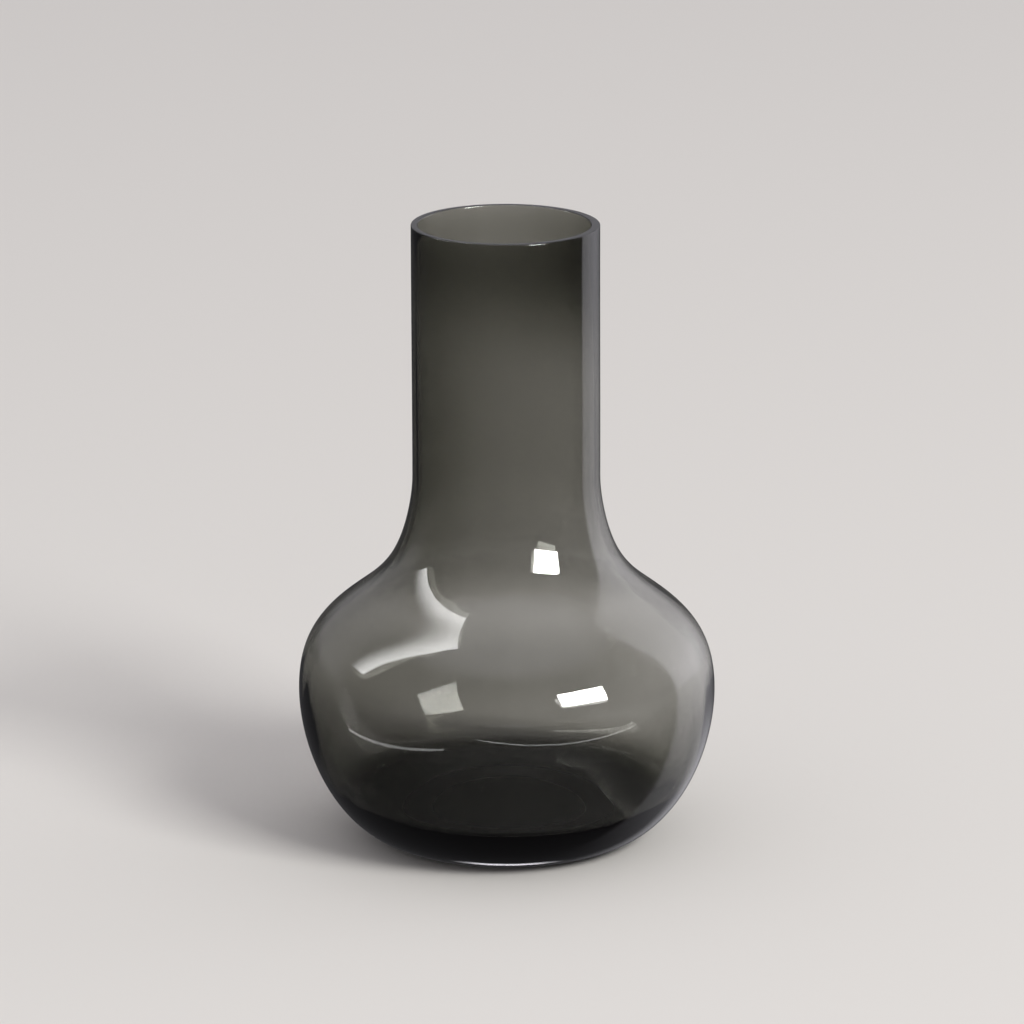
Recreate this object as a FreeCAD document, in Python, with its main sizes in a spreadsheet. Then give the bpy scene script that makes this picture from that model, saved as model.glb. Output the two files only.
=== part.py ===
import FreeCAD, Part
import math
import os

import Sketcher
from FreeCAD import Vector

# A bottle-necked vase blown in one piece of smoke-grey glass, standing on its foot.
# It is a body of revolution about +Z. The origin is the centre of the foot, on the surface it stands on.

# Driving dimensions, in millimetres. Shares are plain ratios.
DIMENSIONS = {
    "height": 280.0,          # foot to rim
    "neck_diameter": 83.5,    # outside of the straight neck
    "belly_diameter": 186.4,  # outside of the widest girth
    "girth_height": 69.3,     # the widest girth above the foot
    "shoulder_arc": 47.7,     # outside radius of the belly above the girth
    "throat_arc": 62.7,       # outside radius of the hollow curve between shoulder and neck
    "heel_arc": 31.0,         # outside radius that rolls the belly into the foot
    "foot_share": 0.513,      # flat of the foot across, over belly_diameter
    "rim_wall": 4.35,         # wall at the mouth, left thick by the finished lip
    "neck_wall": 2.4,         # wall once the lip has thinned out
    "belly_wall": 1.3,        # wall at the girth, where the glass is blown thinnest
    "base_thickness": 14.5,   # heavy base, foot to inside floor
    "mouth_depth": 18.0,      # straight bore under the rim
    "lip_share": 0.27,        # rim to where the lip has thinned out, over height
    "floor_share": 0.65,      # flat of the inside floor across, over belly_diameter
    "floor_arc": 16.0,        # inside corner between floor and bowl
    "rim_round": 1.2,         # fire-polished edges of the rim
    "foot_ring": 13.0,        # width of the ring that the vase stands on
    "punt_depth": 1.6,        # shallow hollow ground under the foot
}

NODE = "glass_vase"
FULL_TURN = 360.0
START = 1
END = 2
CENTRE = 3
ORIGIN = (-1, 1)
VERTICAL_AXIS = -2
SAME = 1e-4


def make_sheet(doc):
    """Writes the driving dimensions into a spreadsheet, one named cell each."""
    sheet = doc.addObject("Spreadsheet::Sheet", "Dimensions")
    for row, (name, value) in enumerate(DIMENSIONS.items(), start=1):
        sheet.set(f"A{row}", name)
        sheet.set(f"B{row}", str(value))
        sheet.setAlias(f"B{row}", name)
    doc.recompute()
    return sheet


class Profile:
    """Half of a section through the vase's axis: pieces in order, joined end to end in one sketch."""

    def __init__(self, body, name):
        self.sketch = body.newObject("Sketcher::SketchObject", name)
        planes = body.Origin.OriginFeatures
        upright = next(plane for plane in planes if plane.Role == "XZ_Plane")
        self.sketch.AttachmentSupport = [(upright, "")]
        self.sketch.MapMode = "FlatFace"
        self.last = None

    def constrain(self, *terms):
        return self.sketch.addConstraint(Sketcher.Constraint(*terms))

    def size(self, name, expression, *terms):
        """Adds a dimension under a name and binds it to cells of the sheet."""
        index = self.constrain(*terms)
        self.sketch.renameConstraint(index, name)
        self.sketch.setExpression(f"Constraints.{name}", expression)

    def join(self, piece, entry, leave, tangent):
        if self.last is not None:
            kind = "Tangent" if tangent else "Coincident"
            self.constrain(kind, *self.last, piece, entry)
        self.last = (piece, leave)

    def line(self, start, end, direction=None, tangent=False):
        """Adds a straight piece, upright, level or free, after the last one."""
        piece = self.sketch.addGeometry(Part.LineSegment(Vector(*start, 0), Vector(*end, 0)))
        if direction:
            self.constrain(direction, piece)
        self.join(piece, START, END, tangent)
        return piece

    def arc(self, centre, radius, low, high, clockwise=False):
        """Adds a tangent arc between two angles in degrees, after the last piece."""
        circle = Part.Circle(Vector(*centre, 0), Vector(0, 0, 1), radius)
        piece = self.sketch.addGeometry(Part.ArcOfCircle(circle, math.radians(low), math.radians(high)))
        ends = (END, START) if clockwise else (START, END)
        self.join(piece, *ends, tangent=True)
        return piece

    def close(self, first):
        self.constrain("Coincident", *self.last, first, START)


class BellyCurve:
    """Four tangent arcs from a level flat up to an upright wall: corner, bowl, shoulder and throat.

    The bowl's radius follows from the others: it is the one circle that is upright at the girth and
    tangent to the corner arc, which is itself tangent to the flat.
    """

    def __init__(self, flat, flat_height, corner, girth, girth_height, shoulder, throat, wall):
        self.flat = (flat, flat_height)
        self.corner = corner
        self.shoulder = shoulder
        self.throat = throat
        inset = girth - flat
        rise = girth_height - flat_height - corner
        self.bowl = (inset**2 - corner**2 + rise**2) / (2 * (inset - corner))
        self.corner_centre = (flat, flat_height + corner)
        self.bowl_centre = (girth - self.bowl, girth_height)
        self.shoulder_centre = (girth - shoulder, girth_height)
        run = wall + throat - self.shoulder_centre[0]
        reach = shoulder + throat
        climb = math.sqrt(reach**2 - run**2)
        self.throat_centre = (wall + throat, girth_height + climb)
        self.corner_turn = math.degrees(math.asin(rise / (self.bowl - corner)))
        self.shoulder_turn = math.degrees(math.atan2(climb, run))
        self.top = (wall, girth_height + climb)

    def draw(self, profile):
        """Adds the arcs after the flat and returns the corner, shoulder and throat pieces."""
        corner = profile.arc(self.corner_centre, self.corner, -90, -self.corner_turn)
        profile.arc(self.bowl_centre, self.bowl, -self.corner_turn, 0)
        shoulder = profile.arc(self.shoulder_centre, self.shoulder, 0, self.shoulder_turn)
        profile.constrain("Horizontal", shoulder, START, shoulder, CENTRE)
        throat = profile.arc(self.throat_centre, self.throat, 180, 180 + self.shoulder_turn, clockwise=True)
        return corner, shoulder, throat


def draw_outside(body, size):
    """Half section of the solid envelope: foot, belly, neck and rim plane, closed on the axis."""
    belly = size["belly_diameter"]
    neck = size["neck_diameter"] / 2
    height = size["height"]
    curve = BellyCurve(
        size["foot_share"] * belly / 2, 0, size["heel_arc"],
        belly / 2, size["girth_height"], size["shoulder_arc"], size["throat_arc"], neck)
    profile = Profile(body, "OutsideProfile")
    foot = profile.line((0, 0), curve.flat, "Horizontal")
    heel, shoulder, throat = curve.draw(profile)
    wall = profile.line(curve.top, (neck, height), "Vertical", tangent=True)
    profile.line((neck, height), (0, height), "Horizontal")
    profile.line((0, height), (0, 0), "Vertical")
    profile.close(foot)
    profile.constrain("Coincident", foot, START, *ORIGIN)
    profile.size("foot", "Dimensions.belly_diameter * Dimensions.foot_share / 2",
                 "DistanceX", *ORIGIN, foot, END, curve.flat[0])
    profile.size("heel", "Dimensions.heel_arc", "Radius", heel, size["heel_arc"])
    profile.size("girth", "Dimensions.belly_diameter / 2", "DistanceX", *ORIGIN, shoulder, START, belly / 2)
    profile.size("girth_height", "Dimensions.girth_height",
                 "DistanceY", *ORIGIN, shoulder, START, size["girth_height"])
    profile.size("shoulder", "Dimensions.shoulder_arc", "Radius", shoulder, size["shoulder_arc"])
    profile.size("throat", "Dimensions.throat_arc", "Radius", throat, size["throat_arc"])
    profile.size("neck", "Dimensions.neck_diameter / 2", "DistanceX", *ORIGIN, wall, END, neck)
    profile.size("height", "Dimensions.height", "DistanceY", *ORIGIN, wall, END, height)
    return profile.sketch


def draw_cavity(body, size):
    """Half section of the hollow: thick floor, bowl, throat, neck, tapering lip and straight mouth."""
    belly = size["belly_diameter"]
    height = size["height"]
    neck = size["neck_diameter"] / 2 - size["neck_wall"]
    mouth = size["neck_diameter"] / 2 - size["rim_wall"]
    girth = belly / 2 - size["belly_wall"]
    lip_end = height * (1 - size["lip_share"])
    mouth_end = height - size["mouth_depth"]
    curve = BellyCurve(
        size["floor_share"] * belly / 2, size["base_thickness"], size["floor_arc"],
        girth, size["girth_height"], size["shoulder_arc"] - size["belly_wall"],
        size["throat_arc"] + size["neck_wall"], neck)
    profile = Profile(body, "CavityProfile")
    floor = profile.line((0, curve.flat[1]), curve.flat, "Horizontal")
    corner, shoulder, throat = curve.draw(profile)
    wall = profile.line(curve.top, (neck, lip_end), "Vertical", tangent=True)
    profile.line((neck, lip_end), (mouth, mouth_end))
    bore = profile.line((mouth, mouth_end), (mouth, height), "Vertical")
    profile.line((mouth, height), (0, height), "Horizontal")
    profile.line((0, height), (0, curve.flat[1]), "Vertical")
    profile.close(floor)
    profile.constrain("PointOnObject", floor, START, VERTICAL_AXIS)
    profile.size("floor", "Dimensions.belly_diameter * Dimensions.floor_share / 2",
                 "DistanceX", *ORIGIN, floor, END, curve.flat[0])
    profile.size("base", "Dimensions.base_thickness", "DistanceY", *ORIGIN, floor, START, curve.flat[1])
    profile.size("corner", "Dimensions.floor_arc", "Radius", corner, size["floor_arc"])
    profile.size("girth", "Dimensions.belly_diameter / 2 - Dimensions.belly_wall",
                 "DistanceX", *ORIGIN, shoulder, START, girth)
    profile.size("girth_height", "Dimensions.girth_height",
                 "DistanceY", *ORIGIN, shoulder, START, size["girth_height"])
    profile.size("shoulder", "Dimensions.shoulder_arc - Dimensions.belly_wall",
                 "Radius", shoulder, curve.shoulder)
    profile.size("throat", "Dimensions.throat_arc + Dimensions.neck_wall", "Radius", throat, curve.throat)
    profile.size("neck", "Dimensions.neck_diameter / 2 - Dimensions.neck_wall",
                 "DistanceX", *ORIGIN, wall, END, neck)
    profile.size("lip_end", "Dimensions.height * (1 - Dimensions.lip_share)",
                 "DistanceY", *ORIGIN, wall, END, lip_end)
    profile.size("mouth", "Dimensions.neck_diameter / 2 - Dimensions.rim_wall",
                 "DistanceX", *ORIGIN, bore, START, mouth)
    profile.size("mouth_end", "Dimensions.height - Dimensions.mouth_depth",
                 "DistanceY", *ORIGIN, bore, START, mouth_end)
    profile.size("height", "Dimensions.height", "DistanceY", *ORIGIN, bore, END, height)
    return profile.sketch


def draw_punt(body, size):
    """Half section of the shallow hollow under the foot: one arc, level on the axis."""
    rim = size["foot_share"] * size["belly_diameter"] / 2 - size["foot_ring"]
    depth = size["punt_depth"]
    radius = (rim**2 + depth**2) / (2 * depth)
    edge_angle = math.degrees(math.acos(rim / radius))
    profile = Profile(body, "PuntProfile")
    flat = profile.line((0, 0), (rim, 0), "Horizontal")
    circle = Part.Circle(Vector(0, depth - radius, 0), Vector(0, 0, 1), radius)
    dome = profile.sketch.addGeometry(
        Part.ArcOfCircle(circle, math.radians(edge_angle), math.radians(90)))
    profile.join(dome, START, END, tangent=False)
    profile.line((0, depth), (0, 0), "Vertical")
    profile.close(flat)
    profile.constrain("Coincident", flat, START, *ORIGIN)
    profile.constrain("PointOnObject", dome, CENTRE, VERTICAL_AXIS)
    profile.size("rim", "Dimensions.belly_diameter * Dimensions.foot_share / 2 - Dimensions.foot_ring",
                 "DistanceX", *ORIGIN, flat, END, rim)
    profile.size("depth", "Dimensions.punt_depth", "DistanceY", *ORIGIN, dome, END, depth)
    return profile.sketch


def turn(body, kind, name, sketch):
    """Turns a closed half section once round its own upright axis."""
    feature = body.newObject(kind, name)
    feature.Profile = sketch
    feature.ReferenceAxis = (sketch, ["V_Axis"])
    feature.Angle = FULL_TURN
    body.Document.recompute()
    return feature


def cut(body, name, sketch):
    """Turns a groove and makes sure that it took glass away."""
    before = body.Shape.Volume
    groove = turn(body, "PartDesign::Groove", name, sketch)
    if groove.Shape.Volume > before - 1:
        raise RuntimeError(f"{name} removed nothing")
    return groove


def round_rim(body, base, size):
    """Rounds both edges of the rim, as a flame leaves them."""
    edges = []
    for number, edge in enumerate(base.Shape.Edges, start=1):
        box = edge.BoundBox
        level = box.ZMax - box.ZMin < SAME
        if level and abs(box.ZMax - size["height"]) < SAME:
            edges.append(f"Edge{number}")
    fillet = body.newObject("PartDesign::Fillet", "RimRound")
    fillet.Base = (base, edges)
    fillet.Radius = size["rim_round"]
    fillet.setExpression("Radius", "Dimensions.rim_round")
    body.Document.recompute()
    return fillet


def make_vase(doc, size):
    """The whole vase: envelope, hollow, punt and polished rim, in one body."""
    body = doc.addObject("PartDesign::Body", NODE)
    body.Label = NODE
    turn(body, "PartDesign::Revolution", "Envelope", draw_outside(body, size))
    cut(body, "Cavity", draw_cavity(body, size))
    punt = cut(body, "Punt", draw_punt(body, size))
    round_rim(body, punt, size)
    return body


def check(doc, body):
    """Stops if a feature failed, a sketch is loose or the solid isn't sound."""
    for item in doc.Objects:
        if "Invalid" in item.State or "Error" in item.State:
            raise RuntimeError(f"{item.Name} is in state {item.State}")
        if item.TypeId == "Sketcher::SketchObject" and not item.FullyConstrained:
            raise RuntimeError(f"{item.Name} isn't fully constrained")
    shape = body.Shape
    if shape.isNull() or not shape.isValid() or len(shape.Solids) != 1:
        raise RuntimeError(f"{body.Label} isn't one valid solid")


def main():
    doc = FreeCAD.newDocument("Vase")
    sheet = make_sheet(doc)
    size = {name: float(sheet.get(name)) for name in DIMENSIONS}
    body = make_vase(doc, size)
    check(doc, body)
    os.makedirs("parts", exist_ok=True)
    body.Shape.exportStep(f"parts/{body.Label}.step")
    box = body.Shape.optimalBoundingBox()
    print(f"{body.Label}: {box.XLength:.2f} x {box.YLength:.2f} x {box.ZLength:.2f} mm, "
          f"{body.Shape.Volume / 1000:.1f} cm3")


main()
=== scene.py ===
"""A bottle-necked vase blown in smoke-grey glass, standing on a pale studio floor."""

import logging
import math
from dataclasses import dataclass
from enum import Enum

import bpy
import numpy as np
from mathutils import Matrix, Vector


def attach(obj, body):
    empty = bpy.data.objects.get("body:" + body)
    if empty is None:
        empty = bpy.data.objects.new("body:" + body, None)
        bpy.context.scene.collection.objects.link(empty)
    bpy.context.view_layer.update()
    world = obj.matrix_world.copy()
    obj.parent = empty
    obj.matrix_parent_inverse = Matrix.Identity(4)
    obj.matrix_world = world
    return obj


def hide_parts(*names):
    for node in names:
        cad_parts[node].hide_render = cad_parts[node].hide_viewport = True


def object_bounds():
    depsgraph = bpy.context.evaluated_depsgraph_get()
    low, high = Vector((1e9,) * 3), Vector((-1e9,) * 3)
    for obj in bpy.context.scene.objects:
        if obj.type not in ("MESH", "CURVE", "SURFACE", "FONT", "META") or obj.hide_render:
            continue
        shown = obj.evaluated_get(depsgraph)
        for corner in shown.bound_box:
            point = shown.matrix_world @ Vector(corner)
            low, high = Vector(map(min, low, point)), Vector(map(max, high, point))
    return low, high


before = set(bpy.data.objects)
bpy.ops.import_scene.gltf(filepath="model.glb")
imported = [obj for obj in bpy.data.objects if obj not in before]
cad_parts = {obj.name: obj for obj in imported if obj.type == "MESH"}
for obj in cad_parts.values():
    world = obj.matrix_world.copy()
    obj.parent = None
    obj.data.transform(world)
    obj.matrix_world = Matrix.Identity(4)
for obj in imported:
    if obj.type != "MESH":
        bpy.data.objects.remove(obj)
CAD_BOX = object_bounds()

MM = 0.001
NODE = "glass_vase"
BODY = "root"
OVERSAMPLING = 8
log = logging.getLogger("vase")

Points = tuple[tuple[float, float], ...]


class Wall(Enum):
    """The two sides of the glass."""

    OUTSIDE = "outside"
    INSIDE = "inside"


def linear(code: str) -> tuple[float, float, float]:
    """Turns an sRGB hex colour into linear light.

    The curve is the sRGB one: a straight toe below 0.04045 and a power of 2.4 above it.

    Args:
        code: The colour as "#RRGGBB".

    Returns:
        Red, green and blue from 0 to 1.
    """
    shares = np.array([int(code[i:i + 2], 16) for i in (1, 3, 5)]) / 255
    values = np.where(shares <= 0.04045, shares / 12.92, ((shares + 0.055) / 1.055) ** 2.4)
    return tuple(values.tolist())


def add_node(tree: bpy.types.NodeTree, kind: str, settings: dict | None = None,
             inputs: dict | None = None) -> bpy.types.Node:
    """Adds one node and sets or links its inputs.

    Args:
        tree: The node tree to add to.
        kind: The node's type name.
        settings: Properties of the node itself, by name.
        inputs: A value or another node's output socket for each input, by name or number.

    Returns:
        The new node.
    """
    node = tree.nodes.new(kind)
    for name, value in (settings or {}).items():
        setattr(node, name, value)
    for name, value in (inputs or {}).items():
        if isinstance(value, bpy.types.NodeSocket):
            tree.links.new(value, node.inputs[name])
        else:
            node.inputs[name].default_value = value
    return node


def calculate(tree: bpy.types.NodeTree, operation: str,
              *values: bpy.types.NodeSocket | float) -> bpy.types.NodeSocket:
    """Adds one sum, product or comparison.

    Args:
        tree: The node tree to add to.
        operation: The math node's operation.
        values: A number or another node's output socket for each of its inputs in turn.

    Returns:
        The result's socket.
    """
    node = add_node(tree, "ShaderNodeMath", {"operation": operation}, dict(enumerate(values)))
    return node.outputs["Value"]


def spline(control: np.ndarray, count: int) -> np.ndarray:
    """Samples a clamped cubic B-spline, evenly along its length.

    Each basis function blends the two of the degree below it by how far the parameter lies between
    their knots; the curve is the control points weighted by the cubic ones.

    Args:
        control: Control points, one row each.
        count: How many points to return.

    Returns:
        Points from the first control point to the last, one row each.
    """
    degree = 3
    inner = np.linspace(0, 1, len(control) - degree + 1)
    knots = np.concatenate([np.zeros(degree), inner, np.ones(degree)])
    # The last knot span is open at its end, so the samples stop a hair before it.
    at = np.linspace(0, 1 - 1e-9, OVERSAMPLING * count)[:, None]
    basis = ((knots[:-1] <= at) & (at < knots[1:])).astype(float)
    for step in range(1, degree + 1):
        low, high = knots[:-step - 1], knots[step + 1:]
        span_low = knots[step:-1] - low
        span_high = high - knots[1:-step]
        rise = np.divide(at - low, span_low, out=np.zeros((len(at), len(low))), where=span_low > 0)
        fall = np.divide(high - at, span_high, out=np.zeros((len(at), len(low))), where=span_high > 0)
        basis = rise * basis[:, :-1] + fall * basis[:, 1:]
    curve = basis @ control
    along = np.concatenate([[0], np.cumsum(np.linalg.norm(np.diff(curve, axis=0), axis=1))])
    even = np.linspace(0, along[-1], count)
    return np.stack([np.interp(even, along, column) for column in curve.T], axis=1)


def arc(centre: tuple[float, float], radius: float, start: float, end: float, count: int) -> np.ndarray:
    """Points on a circle in the section plane, from one angle to another.

    Args:
        centre: Radius from the vase's axis and height of the centre.
        radius: The circle's own radius.
        start: First angle in degrees, from the outward level direction.
        end: Last angle in degrees.
        count: How many points to return.

    Returns:
        Radius from the axis and height of each point, one row each.
    """
    turn = np.radians(np.linspace(start, end, count))
    return np.stack([centre[0] + radius * np.cos(turn), centre[1] + radius * np.sin(turn)], axis=1)


def run(start: tuple[float, float], end: tuple[float, float], count: int) -> np.ndarray:
    """Evenly spaced points on a straight line in the section plane."""
    return np.linspace(start, end, count)


@dataclass(frozen=True)
class Fineness:
    """How many points each stretch of the section gets."""

    punt: int = 10
    standing_ring: int = 8
    belly: int = 130
    neck: int = 24
    rim_edge: int = 9
    rim_flat: int = 5
    bore: int = 40
    hollow: int = 110


@dataclass
class Section:
    """Half of a section through the vase's axis, in millimetres: how thick the glass is everywhere.

    The walls are smooth curves, because soft glass keeps no corners. The lip was left thick, the wall thins
    down the neck and is thinnest at the girth, and the base is a heavy pool of glass.
    """

    height: float
    neck: float = 41.75
    rim_wall: float = 4.35
    rim_round: float = 0.55
    rim_flare: float = 0.9
    throat_height: float = 166.4
    base: float = 14.5
    ring_outer: float = 47.8
    ring_inner: float = 34.8
    punt_depth: float = 1.6
    outside: Points = ((41.75, 157.9), (45.9, 135.0), (59.6, 116.0), (97.2, 94.4), (91.6, 29.8), (64.0, 0.0))
    lip: Points = ((37.4, 272.0), (37.5, 261.0), (38.6, 243.0), (39.1, 225.0), (39.3, 208.0), (39.2, 190.0))
    inside: Points = ((39.2, 157.1), (44.7, 133.5), (56.7, 116.8), (98.5, 90.7), (86.0, 34.6), (72.7, 14.5),
                      (50.0, 14.5))
    fine: Fineness = Fineness()

    def outer_rings(self) -> np.ndarray:
        """The outside, from the middle of the punt over the foot, up the belly and neck to the rim.

        The punt is a shallow dome: its radius is the ring's inner radius squared plus the depth squared, over
        twice the depth.

        Returns:
            Radius and height of each ring, one row each.
        """
        depth = self.punt_depth
        dome = (self.ring_inner**2 + depth**2) / (2 * depth)
        edge = math.degrees(math.acos(self.ring_inner / dome))
        belly = np.array([(self.neck, self.throat_height), *self.outside, (self.ring_outer, 0.0)])[::-1]
        top = self.height - self.rim_round
        pieces = [
            arc((0, depth - dome), dome, 90, edge, self.fine.punt)[1:],
            run((self.ring_inner, 0), (self.ring_outer, 0), self.fine.standing_ring)[1:],
            spline(belly, self.fine.belly)[1:],
            run((self.neck, self.throat_height), (self.neck, top), self.fine.neck)[1:],
            arc((self.neck - self.rim_round, top), self.rim_round, 0, 90, self.fine.rim_edge)[1:],
        ]
        return np.concatenate(pieces)

    def inner_rings(self) -> np.ndarray:
        """The inside, from the flat of the rim down the bore, neck and belly to the middle of the floor.

        Returns:
            Radius and height of each ring, one row each.
        """
        mouth = self.neck - self.rim_wall + self.rim_flare
        throat = (self.inside[0][0], self.throat_height)
        top = self.height - self.rim_round
        bore = np.array([(mouth, top), *self.lip, throat])
        hollow = np.array([throat, *self.inside, (0.0, self.base)])
        flat_start, flat_end = self.neck - self.rim_round, mouth + self.rim_round
        pieces = [
            run((flat_start, self.height), (flat_end, self.height), self.fine.rim_flat)[1:],
            arc((flat_end, top), self.rim_round, 90, 180, self.fine.rim_edge)[1:],
            spline(bore, self.fine.bore)[1:],
            spline(hollow, self.fine.hollow)[1:-1],
        ]
        return np.concatenate(pieces)


@dataclass
class HandOfTheBlower:
    """The small wandering that breath, tools and turning leave in the glass, in millimetres.

    A twist is how many radians a pattern's phase gains over the whole height. The crossing of the bore starts
    at one share of the height and ends at another, which lies past the rim, so it stops short there.
    """

    lean: float = 0.7
    bore_shift: float = 0.6
    crossing: tuple[float, float] = (0.70, 1.06)
    oval: float = 0.12
    oval_twist: float = 3.0
    swell: float = 0.10
    swell_twist: float = 5.0
    swell_waves: float = 7.0
    cords: float = 0.05
    cord_twist: float = 1.5
    cord_fade: float = 12.0
    cord_counts: tuple[int, ...] = (7, 11, 17, 23, 31, 43)
    calm_radius: float = 30.0
    calm_height: float = 25.0
    seed: int = 4

    def wander(self, turn: np.ndarray, rise: np.ndarray, wall: Wall) -> tuple[np.ndarray, np.ndarray]:
        """How far each point of a wall lies from the true body of revolution.

        The radius gains a slow oval and swell that both walls share. The inside also gains cords: cosines of
        many turns round the axis, the finer the fainter, each twisting slowly with height. Sideways, the vase
        leans a little to the left. The bore sits to the right of the outside up to the lower neck, and from
        there half a cosine carries it over to the left, so the glass is thicker first on the left and then,
        at the mouth, on the right.

        Args:
            turn: Angle round the axis of each point, in radians.
            rise: Height of each point over the vase's height.
            wall: Which side of the glass the points are on.

        Returns:
            The gain in radius and the shift along X of each point.
        """
        dice = np.random.default_rng(self.seed)
        phases = dice.uniform(0, 2 * np.pi, len(self.cord_counts))
        gain = self.oval * np.cos(2 * turn + self.oval_twist * rise)
        gain = gain + self.swell * np.cos(turn - self.swell_twist * rise) * np.sin(self.swell_waves * rise)
        shift = -self.lean * rise
        if wall is Wall.INSIDE:
            for count, phase in zip(self.cord_counts, phases):
                height = self.cords * self.cord_fade / (count + self.cord_fade)
                gain = gain + height * np.cos(count * turn + phase + self.cord_twist * rise)
            start, end = self.crossing
            across = np.clip((rise - start) / (end - start), 0, 1)
            shift = shift + self.bore_shift * np.cos(np.pi * across)
        return gain, shift

    def calm(self, radius: np.ndarray, height: np.ndarray) -> np.ndarray:
        """How much of the gain in radius there is: none on the axis and at the foot, all of it further out.

        Args:
            radius: Radius of each ring.
            height: Height of each ring.

        Returns:
            A share from 0 to 1 for each ring.
        """
        return np.clip(radius / self.calm_radius, 0, 1) * np.clip(height / self.calm_height, 0, 1)


@dataclass(frozen=True)
class SmokeGlass:
    """Soda-lime glass melted with a grey oxide, mouth-blown and fire-polished.

    The skin is as smooth as liquid, so highlights are crisp and there is no haze. The colour is in the depth:
    a thin wall is a clear grey and the heavy base is nearly black, faintly olive on the way there.
    """

    name: str = "smoke_grey_blown_glass"
    ior: float = 1.52
    tint: str = "#FFFFFF"
    depth_colour: str = "#89897A"
    density: float = 500.0
    ring_roughness: float = 0.22
    ring_height: float = 0.25
    cord_width: float = 6.0
    cord_length: float = 72.0
    cord_relief: float = 0.008

    def material(self) -> bpy.types.Material:
        """Builds the glass: a smooth refracting skin over an absorbing depth.

        Returns:
            The finished material.
        """
        material = bpy.data.materials.new(self.name)
        material.use_nodes = True
        tree = material.node_tree
        tree.nodes.clear()
        place = add_node(tree, "ShaderNodeTexCoord")
        # Cords are drawn out along the axis. They make the skin's mirroring waver very slightly.
        across, along = 1 / (self.cord_width * MM), 1 / (self.cord_length * MM)
        drawn = add_node(tree, "ShaderNodeMapping", inputs={
            "Vector": place.outputs["Object"], "Scale": (across, across, along)})
        cords = add_node(tree, "ShaderNodeTexNoise", inputs={
            "Vector": drawn.outputs["Vector"], "Scale": 1.0, "Detail": 1.0})
        relief = add_node(tree, "ShaderNodeBump", inputs={
            "Strength": 1.0, "Distance": self.cord_relief * MM, "Height": cords.outputs["Fac"]})
        # The standing ring is finely scuffed where it has been ground flat and set down.
        height = add_node(tree, "ShaderNodeSeparateXYZ", inputs={"Vector": place.outputs["Object"]})
        scuff = add_node(tree, "ShaderNodeMapRange", {"interpolation_type": "SMOOTHSTEP"}, {
            "Value": height.outputs["Z"], "From Min": 0.0, "From Max": self.ring_height * MM,
            "To Min": self.ring_roughness, "To Max": 0.0})
        skin = add_node(tree, "ShaderNodeBsdfPrincipled", inputs={
            "Base Color": (*linear(self.tint), 1), "IOR": self.ior, "Transmission Weight": 1.0,
            "Roughness": scuff.outputs["Result"], "Normal": relief.outputs["Normal"]})
        depth = add_node(tree, "ShaderNodeVolumeAbsorption", inputs={
            "Color": (*linear(self.depth_colour), 1), "Density": self.density})
        add_node(tree, "ShaderNodeOutputMaterial", inputs={
            "Surface": skin.outputs["BSDF"], "Volume": depth.outputs["Volume"]})
        return material


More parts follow.
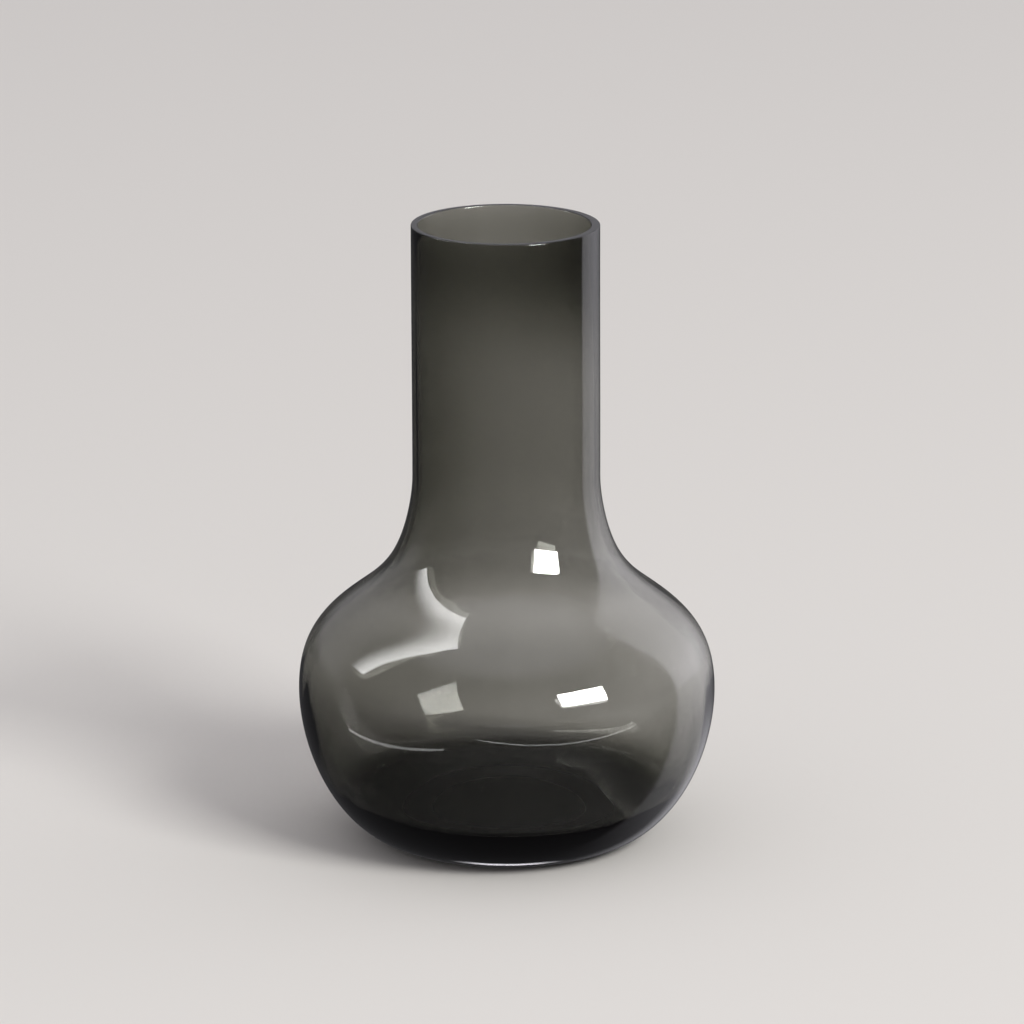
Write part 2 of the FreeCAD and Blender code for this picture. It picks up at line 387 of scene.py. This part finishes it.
@dataclass
class BlownVase:
    """The one piece of glass: both walls, rim and foot as a single closed skin."""

    section: Section
    hand: HandOfTheBlower
    finish: SmokeGlass
    segments: int = 288

    def skin(self) -> tuple[np.ndarray, int]:
        """Turns the section round the axis.

        A ring of the section at radius r and height z becomes points at (r cos a, r sin a, z), with the
        blower's gain added to r and the shift to X. The two poles close the punt and the floor.

        Returns:
            The vertices in metres, ring by ring with the two poles last, and how many rings there are.
        """
        turn = np.arange(self.segments) * 2 * np.pi / self.segments
        sides = []
        walls = {Wall.OUTSIDE: self.section.outer_rings(), Wall.INSIDE: self.section.inner_rings()}
        for wall, rings in walls.items():
            radius, height = rings[:, :1], rings[:, 1:]
            rise = height / self.section.height
            gain, shift = self.hand.wander(turn[None, :], rise, wall)
            around = radius + gain * self.hand.calm(radius, height)
            sides.append(np.stack([
                around * np.cos(turn) + shift,
                around * np.sin(turn),
                np.broadcast_to(height, around.shape)], axis=2))
        rings = np.concatenate(sides)
        poles = np.array([(0, 0, self.section.punt_depth), (0, 0, self.section.base)])
        return np.concatenate([rings.reshape(-1, 3), poles]) * MM, len(rings)

    def faces(self, rings: int) -> tuple[np.ndarray, np.ndarray]:
        """Joins each ring to the next with squares, and the first and last ring to their poles.

        Args:
            rings: How many rings there are.

        Returns:
            The squares and the triangles, as vertex numbers, one row each, facing out of the glass.
        """
        here = np.arange(self.segments)
        after = (here + 1) % self.segments
        base = (np.arange(rings - 1) * self.segments)[:, None]
        squares = np.stack([base + here, base + after, base + self.segments + after,
                            base + self.segments + here], axis=2).reshape(-1, 4)
        first_pole = rings * self.segments
        last = (rings - 1) * self.segments
        under = np.stack([np.full_like(here, first_pole), after, here], axis=1)
        floor = np.stack([np.full_like(here, first_pole + 1), last + here, last + after], axis=1)
        return squares, np.concatenate([under, floor])

    def build(self) -> bpy.types.Object:
        """Makes the mesh, gives it the glass and ties it to the frame.

        Returns:
            The finished piece.
        """
        vertices, rings = self.skin()
        squares, triangles = self.faces(rings)
        corners = np.concatenate([squares.ravel(), triangles.ravel()])
        counts = np.concatenate([np.full(len(squares), 4), np.full(len(triangles), 3)])
        starts = np.concatenate([[0], np.cumsum(counts)[:-1]])
        mesh = bpy.data.meshes.new("blown_vase")
        mesh.vertices.add(len(vertices))
        mesh.vertices.foreach_set("co", vertices.astype(np.float32).ravel())
        mesh.loops.add(len(corners))
        mesh.loops.foreach_set("vertex_index", corners.astype(np.int32))
        mesh.polygons.add(len(counts))
        mesh.polygons.foreach_set("loop_start", starts.astype(np.int32))
        mesh.polygons.foreach_set("use_smooth", np.ones(len(counts), bool))
        mesh.update(calc_edges=True)
        mesh.validate()
        piece = bpy.data.objects.new("blown_vase", mesh)
        bpy.context.scene.collection.objects.link(piece)
        mesh.materials.append(self.finish.material())
        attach(piece, BODY)
        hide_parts(NODE)
        return piece


@dataclass(frozen=True)
class Panel:
    """A flat studio light that faces the vase's axis.

    The angles are in degrees: azimuth from the front towards the right, elevation from level. Sizes are in
    metres and aim is the height that the panel faces. A panel can be mirrored in the glass, seen through it
    and cast on the floor, or be left out of any of these.
    """

    name: str
    azimuth: float
    elevation: float
    distance: float
    width: float
    height: float
    radiance: float
    aim: float = 0.1
    mirrored: bool = True
    seen_through: bool = True
    on_floor: bool = True
    soft_edge: float = 0.0
    lamp_band: float = 0.0
    lamp_half_width: float = 0.06

    def build(self) -> bpy.types.Object:
        """Hangs the panel round the vase and points it at the axis.

        Its power in watts is the radiance times its area times pi.

        Returns:
            The light.
        """
        azimuth, elevation = math.radians(self.azimuth), math.radians(self.elevation)
        away = Vector((math.sin(azimuth) * math.cos(elevation), -math.cos(azimuth) * math.cos(elevation),
                       math.sin(elevation)))
        light = bpy.data.lights.new(self.name, "AREA")
        light.shape = "RECTANGLE"
        light.size = self.width
        light.size_y = self.height
        light.energy = self.radiance * self.width * self.height * math.pi
        if self.soft_edge or self.lamp_band:
            self.shade(light)
        panel = bpy.data.objects.new(self.name, light)
        panel.location = Vector((0, 0, self.aim)) + away * self.distance
        panel.rotation_euler = away.to_track_quat("Z", "Y").to_euler()
        panel.visible_camera = False
        panel.visible_glossy = self.mirrored
        panel.visible_transmission = self.seen_through
        panel.visible_diffuse = self.on_floor
        bpy.context.scene.collection.objects.link(panel)
        log.info("light %s", self.name)
        return panel

    def shade(self, light: bpy.types.AreaLight) -> None:
        """Makes the panel uneven across its width: faded in from one edge, brighter where its lamp stands.

        Args:
            light: The panel's light.
        """
        light.use_nodes = True
        tree = light.node_tree
        tree.nodes.clear()
        place = add_node(tree, "ShaderNodeNewGeometry")
        across = add_node(tree, "ShaderNodeSeparateXYZ", inputs={"Vector": place.outputs["Parametric"]})
        # The fade starts just outside the edge, so a panel with no soft edge is even right up to it.
        edge = add_node(tree, "ShaderNodeMapRange", {"interpolation_type": "SMOOTHSTEP"}, {
            "Value": across.outputs["X"], "From Min": -0.01, "From Max": self.soft_edge})
        lamp = calculate(tree, "COMPARE", across.outputs["X"], 0.5, self.lamp_half_width)
        level = calculate(tree, "MULTIPLY_ADD", lamp, self.lamp_band, edge.outputs["Result"])
        glow = add_node(tree, "ShaderNodeEmission", inputs={"Strength": level})
        add_node(tree, "ShaderNodeOutputLight", inputs={"Surface": glow.outputs["Emission"]})


@dataclass(frozen=True)
class Fade:
    """Where light grows from none to full, between two values of a unit direction along one axis."""

    axis: str
    dark: float
    full: float
    curve: str = "SMOOTHSTEP"

    def level(self, tree: bpy.types.NodeTree, way: bpy.types.Node) -> bpy.types.NodeSocket:
        """Adds the fade to a tree.

        Args:
            tree: The node tree to add to.
            way: The node whose outputs X, Y and Z are the direction.

        Returns:
            The level, from 0 to 1.
        """
        node = add_node(tree, "ShaderNodeMapRange", {"interpolation_type": self.curve}, {
            "Value": way.outputs[self.axis], "From Min": self.dark, "From Max": self.full})
        return node.outputs["Result"]


@dataclass(frozen=True)
class Patch:
    """One bright part of the room: its brightest level, and the fades that bound it."""

    glow: float
    fades: tuple[Fade, ...]

    def added(self, tree: bpy.types.NodeTree, way: bpy.types.Node,
              glow: bpy.types.NodeSocket | float) -> bpy.types.NodeSocket:
        """Adds this patch to the light of the room: its glow times all its fades.

        Args:
            tree: The node tree to add to.
            way: The node whose outputs X, Y and Z are the direction.
            glow: The room's light so far.

        Returns:
            The room's light with this patch.
        """
        share = self.fades[0].level(tree, way)
        for fade in self.fades[1:]:
            share = calculate(tree, "MULTIPLY", share, fade.level(tree, way))
        return calculate(tree, "MULTIPLY_ADD", share, self.glow, glow)


@dataclass(frozen=True)
class Room:
    """The room round the vase, which is far away and so depends on direction alone.

    The glass sees a room that is dark in front, with a bright wall at the right rear, a dimmer sweep behind,
    a bright ceiling, a pale table low at the right rear and one thin bright edge below the foot. The floor
    gets the same soft light from all sides instead, and past the vase the eye sees a plain backdrop.
    """

    colour: str = "#FAF8FF"
    darkest: float = 0.06
    right_wall: Patch = Patch(1.5, (Fade("X", 0.12, 0.95), Fade("Y", 0.25, 0.34),
                                    Fade("Z", -1.0, 0.05, "LINEAR")))
    sweep: Patch = Patch(0.34, (Fade("Y", 0.1, 0.5), Fade("Z", -0.05, 0.2)))
    ceiling: Patch = Patch(0.9, (Fade("Z", 0.75, 0.97),))
    table: Patch = Patch(0.6, (Fade("X", 0.02, 0.30), Fade("Y", 0.65, 0.90), Fade("Z", -0.27, -0.40)))
    low_edge: Patch = Patch(3.0, (Fade("X", -0.12, -0.03), Fade("X", 0.12, 0.03), Fade("Y", 0.40, 0.50),
                                  Fade("Z", -0.67, -0.71), Fade("Z", -0.80, -0.76)))
    backdrop: float = 0.37
    backdrop_below: Fade = Fade("Z", 0.12, 0.03)
    soft_light: float = 0.64

    def build(self) -> bpy.types.World:
        """Makes the room the scene's world.

        Returns:
            The world.
        """
        world = bpy.data.worlds.new("studio_room")
        bpy.context.scene.world = world
        world.use_nodes = True
        tree = world.node_tree
        tree.nodes.clear()
        place = add_node(tree, "ShaderNodeTexCoord")
        way = add_node(tree, "ShaderNodeSeparateXYZ", inputs={"Vector": place.outputs["Generated"]})
        glow = self.darkest
        for patch in (self.right_wall, self.sweep, self.ceiling, self.table, self.low_edge):
            glow = patch.added(tree, way, glow)
        # Low down, what comes straight through the glass is at least as bright as the backdrop.
        ray = add_node(tree, "ShaderNodeLightPath").outputs
        low = calculate(tree, "MULTIPLY", self.backdrop_below.level(tree, way), ray["Is Transmission Ray"])
        glow = calculate(tree, "MAXIMUM", glow, calculate(tree, "MULTIPLY", low, self.backdrop))
        plain = calculate(tree, "MULTIPLY", ray["Is Camera Ray"], self.backdrop)
        plain = calculate(tree, "MULTIPLY_ADD", ray["Is Diffuse Ray"], self.soft_light, plain)
        bare = calculate(tree, "MAXIMUM", ray["Is Camera Ray"], ray["Is Diffuse Ray"])
        by_glass = calculate(tree, "SUBTRACT", 1.0, bare)
        strength = calculate(tree, "MULTIPLY_ADD", glow, by_glass, plain)
        light = add_node(tree, "ShaderNodeBackground", inputs={
            "Color": (*linear(self.colour), 1), "Strength": strength})
        add_node(tree, "ShaderNodeOutputWorld", inputs={"Surface": light.outputs["Background"]})
        log.info("room %s", world.name)
        return world


LIGHTS = (
    Panel("softbox", azimuth=44.4, elevation=23.2, distance=2.5, width=1.15, height=0.70,
          radiance=58.0, on_floor=False, lamp_band=0.35),
    Panel("key", azimuth=44.4, elevation=36.0, distance=7.0, width=2.8, height=2.2,
          radiance=19.0, mirrored=False, seen_through=False),
    Panel("strip", azimuth=-99.0, elevation=47.0, distance=1.2, width=0.34, height=1.15,
          radiance=8.5, on_floor=False, soft_edge=0.95),
    Panel("table_edge_right", azimuth=25.0, elevation=0.0, distance=0.30, width=0.50, height=0.004,
          radiance=4.0, aim=0.008, seen_through=False, on_floor=False),
    Panel("table_edge_left", azimuth=-55.0, elevation=0.0, distance=0.22, width=0.22, height=0.005,
          radiance=3.0, aim=0.008, seen_through=False, on_floor=False),
)


@dataclass
class Studio:
    """The plain pale floor, the room, the lights and the camera.

    Lengths are in metres, angles in degrees, and the lens and sensor in millimetres.
    """

    room: Room = Room()
    lights: tuple[Panel, ...] = LIGHTS
    floor_colour: str = "#D8D5CF"
    floor_half: float = 60.0
    camera_distance: float = 2.68
    camera_elevation: float = 15.29
    camera_side: float = 0.0022
    aim_height: float = 0.1489
    lens: float = 211.84
    sensor: float = 36.0

    def floor(self) -> bpy.types.Object:
        """A very large matt floor. The glass mirrors the room instead of it.

        Returns:
            The floor.
        """
        half = self.floor_half
        corners = [(-half, -half, 0), (half, -half, 0), (half, half, 0), (-half, half, 0)]
        mesh = bpy.data.meshes.new("floor")
        mesh.from_pydata(corners, [], [(0, 1, 2, 3)])
        material = bpy.data.materials.new("matt_paper_floor")
        material.use_nodes = True
        tree = material.node_tree
        tree.nodes.clear()
        paper = add_node(tree, "ShaderNodeBsdfDiffuse", inputs={"Color": (*linear(self.floor_colour), 1)})
        add_node(tree, "ShaderNodeOutputMaterial", inputs={"Surface": paper.outputs["BSDF"]})
        mesh.materials.append(material)
        floor = bpy.data.objects.new("floor", mesh)
        floor.visible_glossy = False
        bpy.context.scene.collection.objects.link(floor)
        return floor

    def camera(self) -> bpy.types.Object:
        """A long lens, a little above the rim and looking down at the middle of the vase.

        Returns:
            The camera.
        """
        tilt = math.radians(self.camera_elevation)
        away = self.camera_distance
        data = bpy.data.cameras.new("camera")
        data.lens = self.lens
        data.sensor_width = self.sensor
        camera = bpy.data.objects.new("camera", data)
        camera.location = (self.camera_side, -away * math.cos(tilt), self.aim_height + away * math.sin(tilt))
        camera.rotation_euler = (math.pi / 2 - tilt, 0, 0)
        bpy.context.scene.collection.objects.link(camera)
        bpy.context.scene.camera = camera
        return camera

    def build(self) -> None:
        """Lays the floor and sets up room, lights and camera, with no film curve over the colours."""
        bpy.context.scene.view_settings.view_transform = "Standard"
        self.floor()
        self.room.build()
        self.camera()
        for light in self.lights:
            light.build()


def main() -> None:
    logging.basicConfig(level=logging.INFO, format="%(message)s")
    vase = BlownVase(Section(height=CAD_BOX[1][2] / MM), HandOfTheBlower(), SmokeGlass())
    piece = vase.build()
    log.info("%s: %d faces", piece.name, len(piece.data.polygons))
    Studio().build()
    bpy.context.view_layer.update()


if __name__ == "__main__":
    main()
